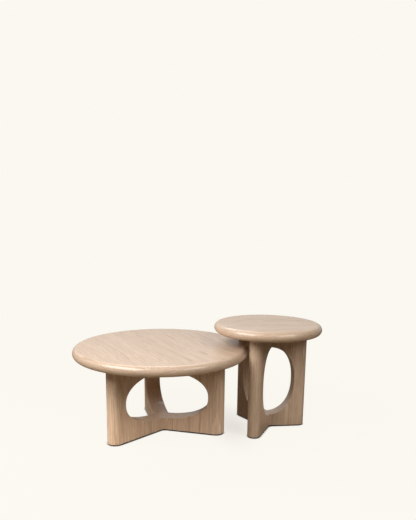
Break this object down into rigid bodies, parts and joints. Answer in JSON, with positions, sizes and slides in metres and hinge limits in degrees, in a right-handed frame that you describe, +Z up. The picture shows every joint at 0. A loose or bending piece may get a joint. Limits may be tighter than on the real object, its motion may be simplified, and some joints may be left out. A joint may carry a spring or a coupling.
{
  "type": "nesting tables",
  "caption": "Nesting tables: a low round coffee table and a taller round side table whose top slides over its edge, each on upright oval-cut fins in washed oak.",
  "frame": {"origin": "on the floor, in the middle of the outline of the nested pair", "axes": "+Z up; +X along the line from the low table's middle to the tall table's middle, which is the direction in which the pair is pulled apart; -Y is the front"},
  "size_m": [1.2894, 0.8997, 0.565],
  "materials": {
    "top_oak": "washed oak, satin lacquer",
    "fin_oak": "washed oak, satin lacquer, upright grain",
    "tenon_beech": "plain planed beech",
    "plate_black": "black powder coat",
    "screw_zinc": "yellow zinc",
    "insert_brass": "turned brass",
    "bolt_black": "black oxide",
    "washer_steel": "bright zinc",
    "pad_felt": "dark pressed felt"
  },
  "bodies": {
    "coffee_table": {"coffee_top": "top_oak", "coffee_fin_a": "fin_oak", "coffee_fin_b": "fin_oak", "coffee_fin_c": "fin_oak", "coffee_foot_tenons": "tenon_beech", "coffee_head_tenons": "tenon_beech", "coffee_plate": "plate_black", "coffee_plate_screws": "screw_zinc", "coffee_inserts": "insert_brass", "coffee_bolts": "bolt_black", "coffee_washers": "washer_steel", "coffee_pad_a": "pad_felt", "coffee_pad_b": "pad_felt", "coffee_pad_c": "pad_felt"},
    "side_table": {"side_top": "top_oak", "side_fin_a": "fin_oak", "side_fin_b": "fin_oak", "side_fin_c": "fin_oak", "side_foot_tenons": "tenon_beech", "side_head_tenons": "tenon_beech", "side_plate": "plate_black", "side_plate_screws": "screw_zinc", "side_inserts": "insert_brass", "side_bolts": "bolt_black", "side_washers": "washer_steel", "side_pad_a": "pad_felt", "side_pad_b": "pad_felt", "side_pad_c": "pad_felt"}
  },
  "joints": [
    {"name": "nest_slide", "type": "slide", "parent": "coffee_table", "child": "side_table", "axis": [1, 0, 0], "range_m": [-0.005, 0.3]}
  ]
}
